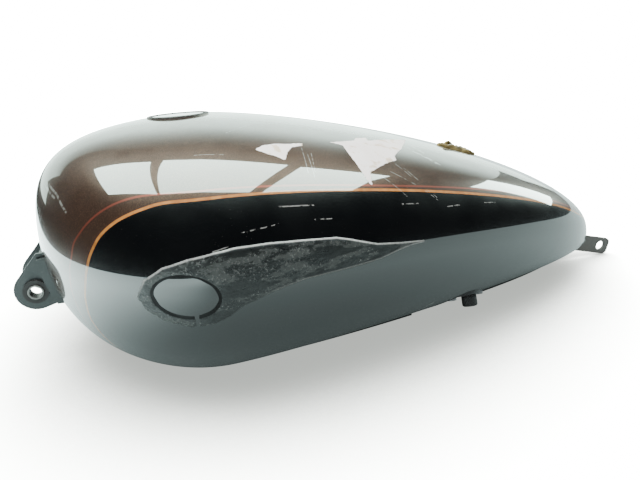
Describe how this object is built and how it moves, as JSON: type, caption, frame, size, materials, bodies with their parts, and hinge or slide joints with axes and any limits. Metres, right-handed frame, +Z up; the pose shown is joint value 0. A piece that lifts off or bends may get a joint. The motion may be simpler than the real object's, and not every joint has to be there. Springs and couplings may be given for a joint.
{
  "type": "motorcycle fuel tank",
  "caption": "Teardrop steel motorcycle fuel tank with flush pop-up cap, frame tunnel, rubber-bushed front ears, rear tab and in-tank pump module.",
  "frame": {"origin": "middle of the whole tank's footprint, on the bench it rests on", "axes": "-X towards the steering head (front ears), +X towards the saddle (rear tab), +Z up, -Y the rider's left side"},
  "size_m": [0.6538, 0.3449, 0.2165],
  "materials": {
    "skin_paint": "gloss two-tone: brown metallic over black, pinstriped",
    "pan_paint": "satin black",
    "bracket_paint": "satin dark grey coating",
    "bare_steel": "plain sheet steel",
    "zinc_steel": "zinc plated",
    "spring_steel": "drawn wire",
    "chrome_cap": "polished chrome",
    "cap_plastic": "moulded, fine texture",
    "module_plastic": "moulded black",
    "filter_plastic": "natural moulded plastic",
    "strainer_mesh": "woven nylon mesh",
    "rubber": "moulded rubber",
    "hose_rubber": "smooth fuel hose",
    "brass": "machined",
    "aluminium": "drawn can",
    "motor_iron": "laminated armature",
    "float_foam": "closed-cell float",
    "adhesive": "brittle old foam-tape adhesive"
  },
  "bodies": {
    "tank": {"badge_adhesive": "adhesive", "baffle": "bare_steel", "filler_cup": "bare_steel", "filler_rim_seal": "rubber", "front_bracket": "bracket_paint", "front_grommets": "rubber", "front_sleeves": "zinc_steel", "fuel_filter": "filter_plastic", "left_skin": "skin_paint", "outlet_check_spring": "spring_steel", "outlet_fitting": "module_plastic", "outlet_o_ring": "rubber", "outlet_spring_seat": "brass", "pressure_regulator": "zinc_steel", "pump_bracket": "bare_steel", "pump_can": "aluminium", "pump_feed_hose": "hose_rubber", "pump_flange": "module_plastic", "pump_gasket": "rubber", "pump_outlet_hose": "hose_rubber", "pump_screws": "zinc_steel", "pump_strainer": "strainer_mesh", "pump_weld_ring": "bare_steel", "rear_tab": "bracket_paint", "right_skin": "skin_paint", "sender_card": "filter_plastic", "tunnel_pan": "pan_paint", "vent_pipe": "bare_steel", "wiring_pins": "brass", "wiring_socket": "module_plastic"},
    "cap_seal": {"cap_gasket": "rubber"},
    "cap": {"cap_base": "cap_plastic", "cap_knob_spring": "spring_steel", "cap_vent_spring": "spring_steel"},
    "cap_top": {"cap_knob": "cap_plastic", "cap_knob_cover": "chrome_cap"},
    "vent_valve": {"cap_vent_valve": "brass"},
    "check_valve": {"outlet_check_valve": "brass"},
    "pump_armature": {"pump_rotor": "motor_iron", "pump_impeller": "module_plastic"},
    "level_float": {"float_arm": "spring_steel", "float": "float_foam"}
  },
  "joints": [
    {"name": "cap_lift", "type": "slide", "parent": "tank", "child": "cap_seal", "axis": [0, 0.0872, 0.9962], "range_m": [0, 0.06]},
    {"name": "cap_turn", "type": "hinge", "parent": "cap_seal", "child": "cap", "pos_m": [-0.16271, 0.024, 0.212], "axis": [0, 0.0872, 0.9962], "range_deg": [0, 450]},
    {"name": "knob_pop", "type": "slide", "parent": "cap", "child": "cap_top", "axis": [0, 0.0872, 0.9962], "range_m": [0, 0.012], "deforming": ["cap_knob_spring"]},
    {"name": "vent_open", "type": "slide", "parent": "cap", "child": "vent_valve", "axis": [0, -0.0872, -0.9962], "range_m": [0, 0.0015], "stiffness_N_per_m": 60, "springref_m": -0.002, "deforming": ["cap_vent_spring"]},
    {"name": "check_open", "type": "slide", "parent": "tank", "child": "check_valve", "axis": [0, -0.3665, -0.9304], "range_m": [0, 0.0025], "stiffness_N_per_m": 60, "springref_m": -0.002, "deforming": ["outlet_check_spring"]},
    {"name": "pump_spin", "type": "hinge", "parent": "tank", "child": "pump_armature", "pos_m": [0.07029, -0.05934, 0.06822], "axis": [1, 0, 0], "continuous": true},
    {"name": "float_swing", "type": "hinge", "parent": "tank", "child": "level_float", "pos_m": [0.07229, -0.08721, 0.0706], "axis": [0, 0.9304, -0.3665], "range_deg": [0, 60]}
  ]
}
